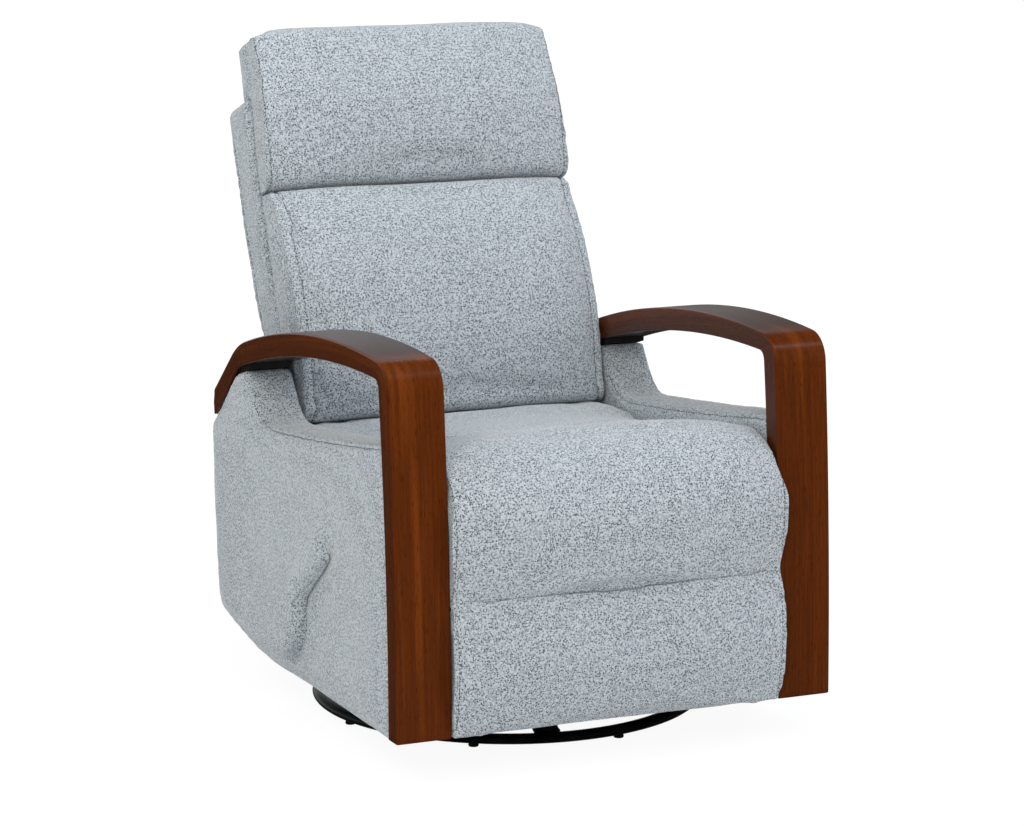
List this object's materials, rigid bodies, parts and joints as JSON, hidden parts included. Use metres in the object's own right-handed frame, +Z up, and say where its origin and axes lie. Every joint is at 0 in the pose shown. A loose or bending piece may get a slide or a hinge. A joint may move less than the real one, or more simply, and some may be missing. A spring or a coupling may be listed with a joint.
{
  "type": "recliner",
  "caption": "Swivel glider recliner with bent plywood arms, a cushioned reclining back, a fold-out footrest on crossed links and a side release lever, on a round ring base.",
  "frame": {"origin": "centre of the bounding box on the floor", "axes": "+X the sitter's left, -Y the front, +Z up"},
  "size_m": [0.7145, 0.9322, 1.0148],
  "materials": {
    "fabric": "light grey-blue chenille with dark flecks",
    "stained_plywood": "satin red-brown stained bent plywood",
    "black_packing": "matt black",
    "bare_wood": "sawn softwood",
    "webbing": "woven elastic webbing",
    "black_gloss_tube": "gloss black paint",
    "black_plastic": "matt black moulded",
    "black_steel": "black powder coat",
    "zinc_steel": "bright zinc"
  },
  "bodies": {
    "base": {"base_ring": "black_gloss_tube", "base_feet": "black_plastic", "base_spider": "black_gloss_tube", "swivel_plate_lower": "black_steel", "swivel_bearing": "black_plastic", "swivel_king_bolt": "zinc_steel"},
    "turntable": {"swivel_plate_upper": "black_steel", "turntable_plate": "black_steel", "glide_stand_left": "black_steel", "glide_stand_right": "black_steel", "glide_top_pins": "zinc_steel"},
    "front_hangers": {"glide_hangers_front": "black_steel"},
    "rear_hangers": {"glide_hangers_rear": "black_steel"},
    "chassis": {"carriage_rail_left": "black_steel", "carriage_rail_right": "black_steel", "glide_lower_pins": "zinc_steel", "carriage_tube_front": "black_steel", "carriage_tube_rear": "black_steel", "mechanism_plate_left": "black_steel", "mechanism_plate_right": "black_steel", "mechanism_spacers": "zinc_steel", "footrest_pivot_pins": "zinc_steel", "back_pivot_pins": "zinc_steel", "arm_left": "stained_plywood", "arm_right": "stained_plywood", "arm_spacer_left": "black_packing", "arm_spacer_right": "black_packing", "side_panel_left": "fabric", "side_panel_right": "fabric", "rear_panel": "fabric", "seat_rail_front": "bare_wood", "seat_rail_rear": "bare_wood", "seat_straps": "webbing", "seat_cushion": "fabric"},
    "back": {"back_shell": "fabric", "back_skirt": "fabric", "lumbar_cushion": "fabric", "head_cushion": "fabric", "back_bracket_left": "black_steel", "back_bracket_right": "black_steel"},
    "lever": {"lever_handle": "fabric", "lever_shaft": "zinc_steel", "lever_crank": "black_steel"},
    "link_main": {"footrest_link_main": "black_steel", "footrest_main_pins": "zinc_steel"},
    "link_cross": {"footrest_link_cross": "black_steel", "footrest_slot_pins": "zinc_steel"},
    "link_board": {"footrest_link_board": "black_steel", "footrest_mate_pins": "zinc_steel", "footrest_board": "bare_wood", "footrest_bracket_left": "black_steel", "footrest_bracket_right": "black_steel", "footrest_pad": "fabric"},
    "link_short": {"footrest_link_short": "black_steel", "footrest_fork_pins": "zinc_steel"}
  },
  "joints": [
    {"name": "swivel", "type": "hinge", "parent": "base", "child": "turntable", "pos_m": [0, -0.032, 0.05], "axis": [0, 0, 1], "continuous": true},
    {"name": "glide", "type": "hinge", "parent": "turntable", "child": "front_hangers", "pos_m": [0, -0.137, 0.215], "axis": [1, 0, 0], "range_deg": [-15, 15]},
    {"name": "rear_hanger_swing", "type": "hinge", "parent": "turntable", "child": "rear_hangers", "pos_m": [0, 0.073, 0.215], "axis": [1, 0, 0], "range_deg": [-15.01, 15.01]},
    {"name": "carriage_level", "type": "hinge", "parent": "front_hangers", "child": "chassis", "pos_m": [0, -0.137, 0.095], "axis": [1, 0, 0], "range_deg": [-15.01, 15.01]},
    {"name": "back_recline", "type": "hinge", "parent": "chassis", "child": "back", "pos_m": [0, 0.235, 0.365], "axis": [-1, 0, 0], "range_deg": [0, 35]},
    {"name": "lever_pull", "type": "hinge", "parent": "chassis", "child": "lever", "pos_m": [-0.3, -0.142, 0.29], "axis": [1, 0, 0], "range_deg": [0, 35], "stiffness_Nm_per_rad": 1.5, "springref_deg": -20.05},
    {"name": "footrest_extend", "type": "hinge", "parent": "chassis", "child": "link_main", "pos_m": [0, -0.356, 0.092], "axis": [1, 0, 0], "range_deg": [0, 79.6]},
    {"name": "footrest_cross", "type": "hinge", "parent": "link_main", "child": "link_cross", "pos_m": [0, -0.32694, 0.16114], "axis": [-1, 0, 0], "range_deg": [0, 159.2]},
    {"name": "footrest_board_turn", "type": "hinge", "parent": "link_main", "child": "link_board", "pos_m": [0, -0.29206, 0.24411], "axis": [-1, 0, 0], "range_deg": [0, 159.2]},
    {"name": "footrest_short", "type": "hinge", "parent": "link_board", "child": "link_short", "pos_m": [0, -0.34134, 0.1688], "axis": [1, 0, 0], "range_deg": [0, 159.2]}
  ],
  "couplings": [
    {"joint": "rear_hanger_swing", "follows": "glide", "ratio": 1},
    {"joint": "carriage_level", "follows": "glide", "ratio": -1},
    {"joint": "footrest_cross", "follows": "footrest_extend", "ratio": 2},
    {"joint": "footrest_board_turn", "follows": "footrest_extend", "ratio": 2},
    {"joint": "footrest_short", "follows": "footrest_extend", "ratio": 2}
  ]
}
